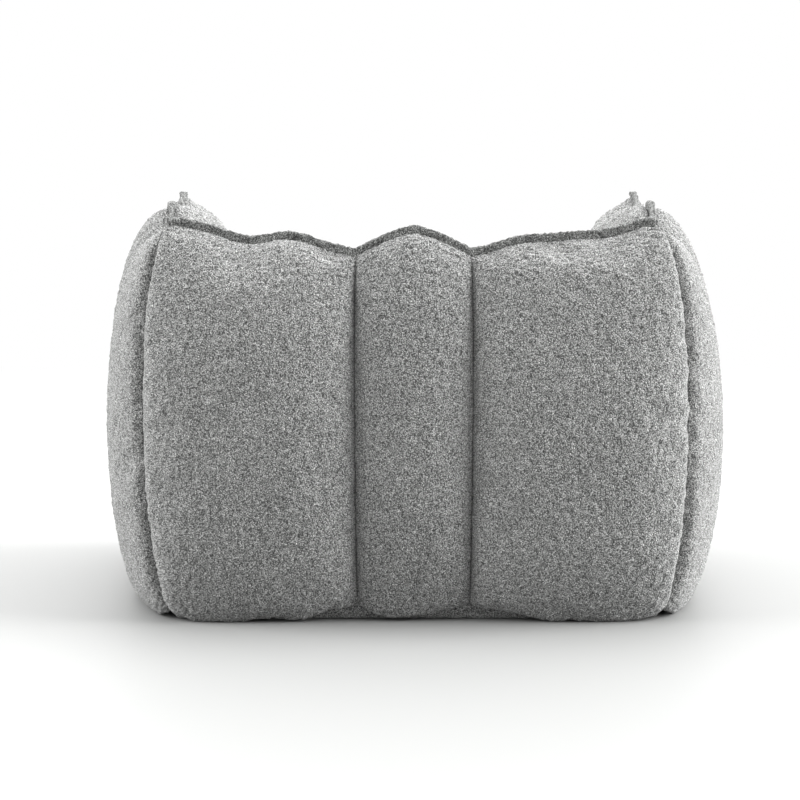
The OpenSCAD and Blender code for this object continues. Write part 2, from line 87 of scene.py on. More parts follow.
def hump(a, b, steps, rise=0, lean=0):
    """A line from a to b that rises in its middle, in mm; lean tilts the hump towards a."""
    t = np.linspace(0, 1, steps + 1)[:, None]
    up = rise * np.sin(math.pi * t) + lean * np.sin(2 * math.pi * t)
    return a + (b - a) * t + up * np.array([0, 0, MM])


def peak(a, b, rise, steps):
    """A line from a to b with nearly straight slopes up to a rounded peak, rise mm high."""
    t = np.linspace(0, 1, steps + 1)[:, None]
    up = rise * (1 - np.abs(2 * t - 1) ** 1.4)
    return a + (b - a) * t + up * np.array([0, 0, MM])


def part_of(line, a, b, steps):
    """The stretch of a line from its share a to its share b."""
    where = np.linspace(a, b, steps + 1) * (len(line) - 1)
    i = np.minimum(where.astype(int), len(line) - 2)
    f = (where - i)[:, None]
    return line[i] * (1 - f) + line[i + 1] * f


def joined(*lines):
    """Lines that follow on from each other as one."""
    return np.concatenate([lines[0]] + [line[1:] for line in lines[1:]])


def eased(line, by):
    """A seam line whose top end lies to one side of the welt."""
    t = np.linspace(0, 1, len(line))[:, None]
    return line + by * t**3


def slid(line, a, b):
    """A line moved by a at its start and by b at its end."""
    t = np.linspace(0, 1, len(line))[:, None]
    return line + a * (1 - t) + b * t


GORE_X = 0.0885 * W
SEAT_X = sum(corner.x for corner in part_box("divider_left")) / 2
RIM_Z = H - 20 * MM
DIP_Z = RIM_Z - 50 * MM
CREASE_Z = 0.4394 * H
CREASE_Y = 0.167 * D
LIP_Z = 0.491 * H
LIP_Y = -0.442 * D
RIM_Y = 0.413 * D
ARM_X = 0.390 * W
FRONT_Y = -0.391 * D
SEAM_Y = (0.106 * D, -0.083 * D)
HEM_Z = 20 * MM
UP = 50  # steps up a seam
CREASE_SHARES = (0, 0.365, 0.607, 1)  # where the inner arm's gores meet the crease


def p3(x, y, z):
    return np.array([x, y, z], float)


def seam_lines(side):
    """Every seam of one half, where side is 1 for the left and -1 for the right."""
    # the right side's corner and lower arm are fuller
    full = 1.0 if side > 0 else 1.015
    low, high = (0.462, 0.511) if side > 0 else (0.490, 0.512)
    ear = p3(0.373 * W, 0.391 * D, RIM_Z)
    front = p3(ARM_X, FRONT_Y, RIM_Z)
    dip = p3(GORE_X, RIM_Y, DIP_Z)
    dips = [p3(ARM_X, y, DIP_Z) for y in SEAM_Y]
    hem_ear = p3((0.372 if side > 0 else 0.383) * W, 0.413 * D, HEM_Z - 4 * MM)
    hem_back = p3(GORE_X - 2 * MM, 0.418 * D, HEM_Z + 5 * MM)
    hem_arms = [p3(0.440 * W, y, HEM_Z) for y in SEAM_Y]
    hem_front = p3(0.409 * W, -0.413 * D, HEM_Z)
    hem_inner = p3(SEAT_X - 2 * MM, -0.440 * D, HEM_Z)
    hem_seat = p3(GORE_X - 2 * MM, -0.449 * D, HEM_Z)
    crease_corner = p3(SEAT_X - 2 * MM, CREASE_Y, CREASE_Z)
    lip_corner = p3(SEAT_X + 4 * MM, LIP_Y, LIP_Z)
    lip_seam = p3(GORE_X - 2 * MM, LIP_Y - 8 * MM, LIP_Z)
    crease_seam = p3(GORE_X - 6 * MM, CREASE_Y, CREASE_Z - 2 * MM)
    # each seam's two ends and, between them, the two points that draw it
    curves = {
        "corner": (
            hem_ear, at(0.434 * full, 0.461, 0.05), at(0.446 * full, 0.449, 0.92), ear),
        "back": (
            hem_back, p3(GORE_X + 2 * MM, 0.480 * D, 0.18 * H),
            p3(GORE_X + 5 * MM, 0.476 * D, 0.82 * H), dip),
        "rear": (
            hem_arms[0], p3((low - 0.009) * W, SEAM_Y[0], 0.07 * H),
            p3((high - 0.010) * W, SEAM_Y[0], 0.86 * H), dips[0]),
        "mid": (
            hem_arms[1], p3(low * W, SEAM_Y[1], 0.07 * H),
            p3(high * W, SEAM_Y[1], 0.86 * H), dips[1]),
        "outer_front": (
            hem_front, at(0.469, -0.472, 0.18), at(0.482, -0.439, 0.83), front),
        "inner_corner": (
            crease_corner, p3(SEAT_X + 10 * MM, CREASE_Y + 20 * MM, 0.67 * H),
            at(0.317, 0.291, 0.91), ear),
        "inner_back": (
            crease_seam, p3(GORE_X - 4 * MM, CREASE_Y + 35 * MM, 0.67 * H),
            p3(GORE_X - MM, 0.317 * D, 0.886 * H), dip),
        "inner_front": (
            lip_corner, p3(SEAT_X + 16 * MM, LIP_Y + 26 * MM, 0.71 * H),
            p3(0.322 * W, FRONT_Y - 20 * MM, 0.92 * H), front),
        "lower_front": (
            hem_inner, p3(SEAT_X, LIP_Y - 32 * MM, 0.15 * H),
            p3(SEAT_X, LIP_Y - 22 * MM, 0.36 * H), lip_corner),
        "seat_front": (
            hem_seat, p3(GORE_X, LIP_Y - 42 * MM, 0.15 * H),
            p3(GORE_X, LIP_Y - 42 * MM, 0.38 * H), lip_seam),
        "seat": (
            lip_seam, lip_seam + shift(0, 120, 14), crease_seam + shift(0, -150, 20), crease_seam),
    }
    s = {key: bezier(points, UP) for key, points in curves.items()}
    s["crease"] = bezier(
        [crease_corner, p3(SEAT_X, 0.05 * D, CREASE_Z + 2 * MM),
         p3(SEAT_X + 4 * MM, -0.2 * D, CREASE_Z + 16 * MM), lip_corner], 2 * UP)
    for i, name in enumerate(("inner_rear", "inner_mid")):
        foot = part_of(s["crease"], CREASE_SHARES[i + 1], 1, 1)[0]
        s[name] = bezier(
            [foot, foot + shift(10, 15, 150), dips[i] + shift(-72, -20, 8), dips[i]], UP)
    s["ends"] = dict(
        ear=ear, front=front, dip=dip, dips=dips, hem_ear=hem_ear, hem_back=hem_back,
        hem_arms=hem_arms, hem_front=hem_front, hem_inner=hem_inner, hem_seat=hem_seat,
        crease_corner=crease_corner, lip_corner=lip_corner, lip_seam=lip_seam, crease_seam=crease_seam)
    return s


def unit(vectors):
    return vectors / np.linalg.norm(vectors, axis=-1, keepdims=True)


def mirror(line):
    return line * np.array([-1, 1, 1])


# ---- gores
# From outside, a gore's four lines run left to right and bottom to top.
BULGE = 34 * MM
RIM_GAP = 3.5  # mm from a welt's middle to each gore beside it
ARM_RISE = 53
ARM_RIMS = ((0, -10), (ARM_RISE, 0), (0, 10))  # each arm gore's rise and lean
PEAK_RISE = 37
LIP_RISE = 12
OUT = {"back": shift(0, RIM_GAP, 0), "arm": shift(RIM_GAP, 0, 0)}
OUT["rear"] = OUT["back"] + OUT["arm"]
OUT["front"] = shift(RIM_GAP, -1, 0)
IN_FRONT = shift(-RIM_GAP, -1, 0)
TOP_IN = shift(0, RIM_GAP, 0)
FRONT_OUT = shift(0, -RIM_GAP, -1)
STAY = shift(0, 0, 0)
GRID_CELL = 12 * MM


def count(a, b):
    """Steps across a gore between two points of its rim."""
    return max(6, int(round(np.linalg.norm(a - b) / GRID_CELL)))


def back_rim(side, ends, steps):
    """The top of the back from the ear to the dip: first low, then high."""
    t = np.linspace(0, 1, steps + 1)[:, None]
    low, high, rise = (0.40, 0.67, 10) if side > 0 else (0.26, 0.74, 7)
    wave = np.exp(-((t - high) / 0.15) ** 2) - np.exp(-((t - low) / 0.15) ** 2)
    up = rise * wave * (1 - (2 * t - 1) ** 6)
    return ends["ear"] + (ends["dip"] - ends["ear"]) * t + up * np.array([0, 0, MM])


def half_gores(side, name):
    """One half's gores, each as its four lines and its bulge, and that half's seam lines."""
    s = seam_lines(side)
    e = s["ends"]
    out = {}

    def add(key, bottom, top, left, right, height):
        if side > 0:
            out[key] = (bottom, top, left, right, height)
        else:
            out[key] = (mirror(bottom)[::-1], mirror(top)[::-1], mirror(right), mirror(left), height)

    n = count(e["ear"], e["dip"])
    rim = back_rim(side, e, n)
    add(f"outer_back_{name}", hump(e["hem_ear"], e["hem_back"], n, -8),
        slid(rim, OUT["rear"], OUT["back"]),
        eased(s["corner"], OUT["rear"]), eased(s["back"], OUT["back"]), 1.2 * BULGE)
    add(f"inner_back_{name}", hump(e["crease_seam"], e["crease_corner"], n),
        slid(rim[::-1], -OUT["back"], -OUT["rear"]),
        eased(s["inner_back"], -OUT["back"]), eased(s["inner_corner"], -OUT["rear"]), BULGE)
    rims = []
    tops = [e["ear"], *e["dips"], e["front"]]
    hems = [e["hem_ear"], *e["hem_arms"], e["hem_front"]]
    for i, (rise, lean) in enumerate(ARM_RIMS):
        n = count(tops[i], tops[i + 1])
        rims.append(hump(tops[i], tops[i + 1], n, rise, lean))
    outer = [s["corner"], s["rear"], s["mid"], s["outer_front"]]
    inner = [s["inner_corner"], s["inner_rear"], s["inner_mid"], s["inner_front"]]
    shifts = [OUT["rear"], OUT["arm"], OUT["arm"], OUT["front"]]
    inward = [-OUT["rear"], -OUT["arm"], -OUT["arm"], IN_FRONT]
    for i, part in enumerate(("rear", "mid", "front")):
        n = len(rims[i]) - 1
        add(f"outer_arm_{name}_{part}", hump(hems[i + 1], hems[i], n, -4),
            slid(rims[i][::-1], shifts[i + 1], shifts[i]),
            eased(outer[i + 1], shifts[i + 1]), eased(outer[i], shifts[i]), (0.9, 0.65, 0.92)[i] * BULGE)
        add(f"inner_arm_{name}_{part}",
            part_of(s["crease"], CREASE_SHARES[i], CREASE_SHARES[i + 1], n),
            slid(rims[i], inward[i], inward[i + 1]),
            eased(inner[i], inward[i]), eased(inner[i + 1], inward[i + 1]), (0.75, 0.7, 0.8)[i] * BULGE)
    n = count(e["hem_inner"], e["hem_front"])
    face_left = joined(*[part_of(s[key], 0, 1, UP // 2) for key in ("lower_front", "inner_front")])
    apart, forward = RIM_GAP + 1.5, -2.5
    tip = np.array([e["front"] + shift(apart * (2 * i / n - 1), forward, 0) for i in range(n + 1)])
    add(f"arm_front_{name}", hump(e["hem_inner"], e["hem_front"], n, -3), tip,
        eased(face_left, shift(-apart, forward, 0)),
        eased(s["outer_front"], shift(apart, forward, 0)), 1.1 * BULGE)
    n = count(e["lip_seam"], e["lip_corner"])
    lip = hump(e["lip_seam"], e["lip_corner"], n, LIP_RISE)
    add(f"seat_top_{name}", lip + TOP_IN, hump(e["crease_seam"], e["crease_corner"], n),
        slid(s["seat"], TOP_IN, STAY), part_of(s["crease"], 1, 0, UP), 0.75 * BULGE)
    add(f"seat_front_{name}", hump(e["hem_seat"], e["hem_inner"], n, -3), lip + FRONT_OUT,
        eased(s["seat_front"], FRONT_OUT), eased(s["lower_front"], FRONT_OUT), 0.7 * BULGE)
    return out, s


def centre_gores(left, right):
    """The three gores in the middle, between the left and the right half's seam lines."""
    a = left["ends"]
    b = {key: mirror(line) for key, line in right["ends"].items()}
    n = count(a["dip"], b["dip"])
    rim = peak(a["dip"], b["dip"], PEAK_RISE, n)
    lip = hump(b["lip_seam"], a["lip_seam"], n, LIP_RISE)
    back = OUT["back"]
    crease = hump(b["crease_seam"], a["crease_seam"], n)

    def both(key, moved, *by):
        return mirror(moved(right[key], *by)), moved(left[key], *by)

    return {
        "outer_back_centre": (
            hump(a["hem_back"], b["hem_back"], n, -9), rim + back,
            *both("back", eased, back)[::-1], 0.75 * BULGE),
        "inner_back_centre": (
            crease, rim[::-1] - back, *both("inner_back", eased, -back), 0.8 * BULGE),
        "seat_top_centre": (
            lip + TOP_IN, crease, *both("seat", slid, TOP_IN, STAY), 0.75 * BULGE),
        "seat_front_centre": (
            hump(b["hem_seat"], a["hem_seat"], n, -3), lip + FRONT_OUT,
            *both("seat_front", eased, FRONT_OUT), 0.55 * BULGE),
    }


def coons(bottom, top, left, right):
    """The smooth grid between four lines."""
    u = np.linspace(0, 1, len(bottom))[None, :, None]
    v = np.linspace(0, 1, len(left))[:, None, None]
    corners = (bottom[0] * (1 - u) + bottom[-1] * u) * (1 - v) + (top[0] * (1 - u) + top[-1] * u) * v
    return (bottom[None] * (1 - v) + top[None] * v
            + left[:, None] * (1 - u) + right[:, None] * u - corners)


def normals(g):
    n = np.cross(np.gradient(g, axis=1), np.gradient(g, axis=0))
    length = np.linalg.norm(n, axis=2, keepdims=True)
    return n / np.maximum(length, 1e-12)


def pillow(share, power, edge):
    """A bulge's height across a gore: 1 in the middle and 0 at both edges."""
    return np.clip(1 - np.abs(2 * share - 1) ** power, 0, 1) ** edge


def bulged(g, height, rim_edge):
    """rim_edge is the roundness at the gore's top: near 1 it meets the welt gently."""
    u = np.linspace(0, 1, g.shape[1])[None, :, None]
    v = np.linspace(0, 1, g.shape[0])[:, None, None]
    up = np.where(v < 0.5, pillow(v, 3.2, 0.5), pillow(v, 2.4, rim_edge))
    return g + normals(g) * height * pillow(u, 2.6, 0.5) * up


def meets_rim(name):
    return not name.startswith("seat")


left_gores, left_seams = half_gores(1, "left")
right_gores, right_seams = half_gores(-1, "right")
gores = {**left_gores, **right_gores, **centre_gores(left_seams, right_seams)}
grids = {name: bulged(coons(*g[:4]), g[4], 1.0 if meets_rim(name) else 0.5) for name, g in gores.items()}


def arc(g, axis):
    """Distances along the grid's lines, from their start."""
    steps = np.linalg.norm(np.diff(g, axis=axis), axis=2)
    return np.concatenate([np.zeros_like(steps.take([0], axis)), np.cumsum(steps, axis)], axis)


def cut_of(g):
    """A panel's widest width and longest length, and its area."""
    size = (float(arc(g, 1)[:, -1].max()), float(arc(g, 0)[-1].max()))
    a, b = g[1:, 1:] - g[:-1, :-1], g[1:, :-1] - g[:-1, 1:]
    return size, float(np.linalg.norm(np.cross(a, b), axis=2).sum() / 2)


# what each gore is cut to, before it is stuffed
cuts = {name: cut_of(g) for name, g in grids.items()}


# ---- stuffing the cover
def grid_faces(rows, columns, start=0):
    i = np.arange(rows - 1)[:, None] * columns + np.arange(columns - 1)[None] + start
    i = i.ravel()
    return np.stack([i, i + 1, i + columns + 1, i + columns], axis=1)


def make_mesh(name, points, faces, smooth=True):
    """faces is a list of arrays, one for each number of corners."""
    mesh = bpy.data.meshes.new(name)
    points = np.asarray(points, float).reshape(-1, 3)
    sizes = np.concatenate([np.full(len(f), f.shape[1]) for f in faces])
    corners = np.concatenate([np.asarray(f).ravel() for f in faces])
    mesh.vertices.add(len(points))
    mesh.vertices.foreach_set("co", points.ravel())
    mesh.loops.add(len(corners))
    mesh.loops.foreach_set("vertex_index", corners.astype(np.int32))
    mesh.polygons.add(len(sizes))
    starts = np.concatenate([[0], np.cumsum(sizes)[:-1]])
    mesh.polygons.foreach_set("loop_start", starts.astype(np.int32))
    mesh.polygons.foreach_set("use_smooth", np.full(len(sizes), smooth))
    mesh.update(calc_edges=True)
    mesh.validate()
    obj = bpy.data.objects.new(name, mesh)
    scene.collection.objects.link(obj)
    return obj


def coordinates(mesh):
    co = np.empty(len(mesh.vertices) * 3)
    mesh.vertices.foreach_get("co", co)
    return co.reshape(-1, 3)


def edge_mask(g):
    mask = np.zeros(g.shape[:2], bool)
    mask[[0, -1], :] = True
    mask[:, [0, -1]] = True
    return mask


def stuff(grids, cap):
    """Blows all gores up at once, with their seams held, and limits how far a point may move."""
    points, faces, borders, caps = [], [], [], []
    start = 0
    for name, g in grids.items():
        rows, columns = g.shape[:2]
        points.append(g.reshape(-1, 3))
        faces.append(grid_faces(rows, columns, start))
        borders.append(edge_mask(g).ravel())
        below_rim = np.linspace(arc(g, 0)[-1].mean(), 0, rows)[:, None] / (90 * MM)
        near_rim = 0.25 + 0.75 * np.clip(below_rim, 0, 1) if meets_rim(name) else 1 + 0 * below_rim
        caps.append(np.repeat(cap * near_rim, columns, axis=1).ravel())
        start += rows * columns
    points = np.concatenate(points)
    cover = make_mesh("stuffed", points, [np.concatenate(faces)])
    group = cover.vertex_groups.new(name="seams")
    group.add(np.nonzero(np.concatenate(borders))[0].tolist(), 1, "REPLACE")
    cloth = cover.modifiers.new("Cloth", "CLOTH")
    s = cloth.settings
    s.quality = 6
    s.mass = 0.25
    s.tension_stiffness = 25
    s.compression_stiffness = 25
    s.shear_stiffness = 12
    s.bending_stiffness = 6
    s.vertex_group_mass = "seams"
    s.use_pressure = True
    s.uniform_pressure_force = 2.5
    s.effector_weights.gravity = 0.25
    s.shrink_min = -0.008
    cloth.collision_settings.use_collision = False
    cloth.collision_settings.use_self_collision = False
    for step in range(1, 21):
        scene.frame_set(step)
    seen = cover.evaluated_get(bpy.context.evaluated_depsgraph_get())
    after = coordinates(seen.to_mesh())
    seen.to_mesh_clear()
    scene.frame_set(1)
    bpy.data.objects.remove(cover)
    moved = after - points
    far = np.linalg.norm(moved, axis=1, keepdims=True)
    after = points + moved * np.minimum(1, np.concatenate(caps)[:, None] / np.maximum(far, 1e-9))
    out, start = {}, 0
    for name, g in grids.items():
        n = g.shape[0] * g.shape[1]
        out[name] = after[start:start + n].reshape(g.shape)
        start += n
    return out


grids = stuff(grids, 14 * MM)


def drooped(name, g):
    """The filling's weight lets a gore's lower edge sag past the hem towards the floor."""
    if not name.startswith(("outer", "arm_front", "seat_front")):
        return g
    g = g.copy()
    n = g.shape[1]
    u = np.linspace(0, 1, n)
    knots = random.uniform(0.15, 1.3, max(4, n // 3))
    depth = np.interp(u, np.linspace(0, 1, len(knots)), knots)
    sag = 20 * MM * depth * pillow(u, 2.2, 0.8)
    above = arc(g, 0)
    fall = np.exp(-(above / (34 * MM)) ** 2) * sag[None]
    fall[0] = 0
    g[..., 2] = np.maximum(g[..., 2] - fall, 1 * MM)
    return g


def lifted(g):
    """The grid with its edges raised to where the pillow would go on, without the seam."""
    g = g.copy()
    g[0] = 2 * g[1] - g[2]
    g[-1] = 2 * g[-2] - g[-3]
    g[:, 0] = 2 * g[:, 1] - g[:, 2]
    g[:, -1] = 2 * g[:, -2] - g[:, -3]
    g[..., 2] = np.maximum(g[..., 2], 1 * MM)
    return g


def tree_of(points):
    tree = KDTree(len(points))
    for i, p in enumerate(points):
        tree.insert(p, i)
    tree.balance()
    return tree


def sunk(grids):
    """Pulls every seam line in between its two pillows: least at the rim and the hem."""
    spots, ways = [], []
    for g in grids.values():
        mask = edge_mask(g)
        spots.append(g[mask])
        ways.append(normals(lifted(g))[mask])
    spots, ways = np.concatenate(spots), np.concatenate(ways)
    tree = tree_of(spots)
    rims = tree_of([p for name, g in grids.items() if meets_rim(name) for p in g[-1]])
    out = {}
    for name, g in grids.items():
        g = g.copy()
        mask = edge_mask(g)
        new = []
        for p in g[mask]:
            near = tree.find_range(p, 17 * MM)
            way = sum(ways[i] * (18 * MM - d) for _, i, d in near)
            way = way / max(np.linalg.norm(way), 1e-9)
            on_back = abs(p[0]) < GORE_X + 20 * MM and p[1] > 0.3 * D
            depth = (5 if on_back else 10) * MM
            depth *= min(1, max(0.1, rims.find(p)[2] / (60 * MM)))
            depth *= min(1, max(0, (p[2] - 24 * MM) / (50 * MM)))
            new.append(p - way * depth)
        g[mask] = new
        out[name] = g
    return out


grids = sunk({name: drooped(name, g) for name, g in grids.items()})


# ---- fine cloth shells
def catmull_rom(n, where):
    """The matrix that reads a line of n points at the given shares of its length."""
    x = np.asarray(where) * (n - 1)
    i = np.minimum(x.astype(int), n - 2)
    f = x - i
    m = np.zeros((len(x), n + 2))
    rows = np.arange(len(x))
    m[rows, i] = (-f + 2 * f**2 - f**3) / 2
    m[rows, i + 1] = (2 - 5 * f**2 + 3 * f**3) / 2
    m[rows, i + 2] = (f + 4 * f**2 - 3 * f**3) / 2
    m[rows, i + 3] = (-f**2 + f**3) / 2
    ends = np.zeros((n + 2, n))
    ends[1:-1] = np.eye(n)
    ends[0, :2] = (2, -1)
    ends[-1, -2:] = (-1, 2)
    return m @ ends


def read_grid(g, vs, us):
    """A coarse grid's smooth surface at the given shares of its height and width."""
    a = catmull_rom(g.shape[0], vs)
    b = catmull_rom(g.shape[1], us)
    return np.einsum("jkc,lk->jlc", np.einsum("ij,jkc->ikc", a, g), b)


NEAR = np.array([0, 1.4, 3.0, 5.0, 7.4]) * MM


def stations(length, cell):
    """Shares along a line: close together near both ends, otherwise one cell apart."""
    near = NEAR / length
    first = near[-1] + 2.8 * MM / length
    middle = np.linspace(first, 1 - first, max(3, int(round((1 - 2 * first) * length / cell)) + 1))
    return np.concatenate([near, middle, 1 - near[::-1]])


def sparse(length, cell):
    """Shares along a line for the cloth's inside: one cell apart, and a step at each edge."""
    edge = 8 * MM / length
    return np.concatenate([[0], np.linspace(edge, 1 - edge, max(2, int(length / cell))), [1]])


def tucked(fine, true_edge, reach):
    """Draws the raised edges of a fine grid down to the seam line, over a short reach."""
    du, dv = arc(fine, 1), arc(fine, 0)
    delta = true_edge - fine
    fall = lambda d: np.exp(-(np.abs(d) / reach) ** 1.3)[..., None]
    wl, wr = fall(du), fall(du[:, -1:] - du)
    wb, wt = fall(dv), fall(dv[-1:] - dv)
    out = fine + delta[:, :1] * wl + delta[:, -1:] * wr
    rest = true_edge - out
    return out + rest[:1] * wb + rest[-1:] * wt


def uneven(shape, times):
    """Random numbers from -1 to 1, averaged with their neighbours a number of times."""
    field = random.uniform(-1, 1, shape)
    for _ in range(times):
        f = np.pad(field, 1, mode="edge")
        field = (4 * field + f[:-2, 1:-1] + f[2:, 1:-1] + f[1:-1, :-2] + f[1:-1, 2:]) / 8
    return field


def loops_between(rows, columns, vs, us, start):
    """A grid's border as vertex numbers and places from 0 to 4, anticlockwise from outside."""
    number = np.arange(rows * columns).reshape(rows, columns) + start
    ids = np.concatenate([number[0, :-1], number[:-1, -1], number[-1, :0:-1], number[:0:-1, 0]])
    us, vs = np.asarray(us), np.asarray(vs)
    place = np.concatenate([us[:-1], 1 + vs[:-1], 3 - us[:0:-1], 4 - vs[:0:-1]])
    return ids, place


def stitch(outer, inner):
    """Triangles between two closed loops of border points."""
    (a, ta), (b, tb) = outer, inner
    a, ta = np.append(a, a[0]), np.append(ta, 4)
    b, tb = np.append(b, b[0]), np.append(tb, 4)
    out, i, j = [], 0, 0
    while i < len(a) - 1 or j < len(b) - 1:
        if j == len(b) - 1 or (i < len(a) - 1 and ta[i + 1] <= tb[j + 1]):
            out.append((a[i + 1], a[i], b[j]))
            i += 1
        else:
            out.append((a[i], b[j], b[j + 1]))
            j += 1
    return np.array(out)


CLOTH = 2 * MM
LOOP = 3.1 * MM
LOOP_RELIEF = 2.8
PATCH_RELIEF = 1.2


def cloth_shell(name, g, thick=CLOTH, curl=1.0, raise_edges=True, cell=LOOP, shape=None):
    """A closed sheet of cloth over a coarse grid: fine outside with its pile, coarse inside."""
    width, length = arc(g, 1)[:, -1].mean(), arc(g, 0)[-1].mean()
    us, vs = stations(width, cell), stations(length, cell)
    true_edge = read_grid(g, vs, us)
    fine = tucked(read_grid(lifted(g), vs, us), true_edge, 6 * MM) if raise_edges else true_edge
    if shape:
        fine = shape(fine)
    n = normals(fine)
    inner_u, inner_v = sparse(width, 4.5 * cell), sparse(length, 4.5 * cell)
    ku = np.abs(us[None] - inner_u[:, None]).argmin(1)
    kv = np.abs(vs[None] - inner_v[:, None]).argmin(1)
    inner = (fine - n * thick)[kv][:, ku]
    inner_u, inner_v = us[ku], vs[kv]
    pile = uneven(fine.shape[:2], 1) * LOOP_RELIEF
    pile = pile + uneven(fine.shape[:2], 6) * PATCH_RELIEF
    pile[[0, -1]] = 0
    pile[:, [0, -1]] = 0
    fine = fine + n * (pile * curl * MM)[..., None]
    fine[..., 2] = np.maximum(fine[..., 2], 0.3 * MM)
    inner[..., 2] = np.maximum(inner[..., 2], 1.2 * MM)
    rows, columns = fine.shape[:2]
    m = rows * columns
    under = grid_faces(len(kv), len(ku), m)[:, ::-1]
    sides = stitch(loops_between(rows, columns, vs, us, 0),
                   loops_between(len(kv), len(ku), inner_v, inner_u, m))
    points = np.concatenate([fine.reshape(-1, 3), inner.reshape(-1, 3)])
    return make_mesh(name, points, [grid_faces(rows, columns), under, sides])


def placed(piece, material, node, body="cover"):
    """Gives a piece its material and its body, and hides the CAD node that it stands for."""
    piece.data.materials.append(material)
    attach(piece, body)
    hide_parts(node)


def sewn(piece, material, node, cut):
    """A placed piece that is a stretched sheet of cloth."""
    placed(piece, material, node)


# ---- materials
class Nodes:
    """Short names for building one material."""

    def __init__(self, name, roughness=0.9, sheen=0.0, metallic=0.0, specular=0.5):
        self.material = bpy.data.materials.new(name)
        self.material.use_nodes = True
        self.tree = self.material.node_tree
        self.tree.nodes.clear()
        self.shader = self.add("ShaderNodeBsdfPrincipled")
        out = self.add("ShaderNodeOutputMaterial")
        self.link(self.shader.outputs[0], out.inputs[0])
        own = {"Roughness": roughness, "Sheen Weight": sheen, "Sheen Roughness": 0.5,
               "Metallic": metallic, "Specular IOR Level": specular}
        for key, value in own.items():
            self.shader.inputs[key].default_value = value
        self.place = self.add("ShaderNodeTexCoord").outputs["Object"]

    def add(self, kind, **values):
        """A node with these settings and input values."""
        node = self.tree.nodes.new(kind)
        for key, value in values.items():
            if hasattr(node, key):
                setattr(node, key, value)
            else:
                node.inputs[key.replace("_", " ")].default_value = value
        return node

    def link(self, a, b):
        self.tree.links.new(a, b)

    def red(self, colour):
        node = self.add("ShaderNodeSeparateColor")
        self.link(colour, node.inputs[0])
        return node.outputs[0]

    def texture(self, kind, place=None, **values):
        node = self.add(f"ShaderNodeTex{kind}", **values)
        self.link(place or self.place, node.inputs["Vector"])
        return node.outputs

    def noise(self, scale, detail=3, rough=0.6):
        return self.texture("Noise", Scale=scale, Detail=detail, Roughness=rough)

    def give(self, socket, value):
        """Sets a number, or links what comes from another node."""
        if isinstance(value, (int, float, tuple)):
            socket.default_value = value
        else:
            self.link(value, socket)

    def math(self, what, *values):
        node = self.add("ShaderNodeMath", operation=what)
        for socket, value in zip(node.inputs, values):
            self.give(socket, value)
        return node.outputs[0]

    def vector(self, what, a, b):
        node = self.add("ShaderNodeVectorMath", operation=what)
        self.give(node.inputs[0], a)
        self.give(node.inputs["Scale" if what == "SCALE" else 1], b)
        return node.outputs[0]

    def spread(self, value, low, high, to_low=0.0, to_high=1.0):
        node = self.add(
            "ShaderNodeMapRange", From_Min=low, From_Max=high, To_Min=to_low, To_Max=to_high)
        self.link(value, node.inputs[0])
        return node.outputs[0]

    def ramp(self, value, stops):
        node = self.add("ShaderNodeValToRGB")
        self.link(value, node.inputs[0])
        elements = node.color_ramp.elements
        while len(elements) < len(stops):
            elements.new(0.5)
        for element, (place, colour) in zip(elements, stops):
            element.position = place
            element.color = (*colour, 1)
        return node.outputs[0]

    def shaded(self, colour, value):
        """A colour made lighter or darker by a value."""
        grey = self.add("ShaderNodeCombineColor")
        for socket in grey.inputs:
            self.link(value, socket)
        node = self.add("ShaderNodeMix", data_type="RGBA", blend_type="MULTIPLY")
        node.inputs[0].default_value = 1.0
        self.link(colour, node.inputs[6])
        self.link(grey.outputs[0], node.inputs[7])
        return node.outputs[2]

    def finish(self, colour, height, strength, distance):
        self.link(colour, self.shader.inputs["Base Color"])
        bump = self.add("ShaderNodeBump", Strength=strength, Distance=distance)
        self.link(height, bump.inputs["Height"])
        self.link(bump.outputs[0], self.shader.inputs["Normal"])
        return self.material


def boucle_cloth(name, light, mid, dark):
    """Looped heather yarn: curls about 3 mm across, of light, middle and dark grey yarn."""
    n = Nodes(name, roughness=0.95, sheen=0.3, specular=0.15)
    wander = n.noise(400, 2)["Color"]
    wander = n.vector("SCALE", n.vector("SUBTRACT", wander, (0.5, 0.5, 0.5)), 3 * MM)
    bent = n.vector("ADD", n.place, wander)
    loops = n.texture("Voronoi", bent, Scale=480)
    tone = n.red(loops["Color"])
    fine = n.noise(900, 2, 0.7)["Fac"]
    patch = n.noise(45, 3, 0.6)["Fac"]
    broad = n.noise(6, 2, 0.5)["Fac"]
    mixed_tone = n.math("ADD", n.math("MULTIPLY", tone, 0.28), n.math("MULTIPLY", fine, 0.72))
    mixed_tone = n.math("ADD", mixed_tone, n.spread(patch, 0.3, 0.7, -0.02, 0.02))
    colour = n.ramp(mixed_tone, [(0.28, dark), (0.45, mid), (0.56, mid), (0.72, light)])
    # Painted light on the loops: a painted highlight on each loop's crown and painted shade in the gaps
    # between them; shade below multiplies it by a broad random tone.
    painted_loop_shade = n.spread(loops["Distance"], 0.15, 0.7, 1.4, 0.2)
    shade = n.math("MULTIPLY", painted_loop_shade, n.spread(broad, 0.3, 0.7, 0.95, 1.05))
    colour = n.shaded(colour, shade)
    height = n.math("SUBTRACT", n.math("MULTIPLY", fine, 0.5), loops["Distance"])
    return n.finish(colour, height, 0.8, 1.8 * MM)


def woven_cloth(name, colour, shade, threads, axes="XZ"):
    """A plain weave of fine threads."""
    n = Nodes(name, roughness=0.85, sheen=0.1, specular=0.2)
    waves = [n.texture("Wave", bands_direction=axis, Scale=threads, Distortion=0.6, Detail=1.0)
             for axis in axes]
    weave = n.math("MULTIPLY", waves[0]["Fac"], waves[1]["Fac"])
    soft = n.noise(12, 3)["Fac"]
    tone = n.math("MULTIPLY", n.spread(weave, 0, 1, 0.78, 1.05), n.spread(soft, 0.3, 0.7, 0.92, 1.04))
    final = n.shaded(n.ramp(soft, [(0.3, shade), (0.7, colour)]), tone)
    return n.finish(final, weave, 0.3, 0.4 * MM)


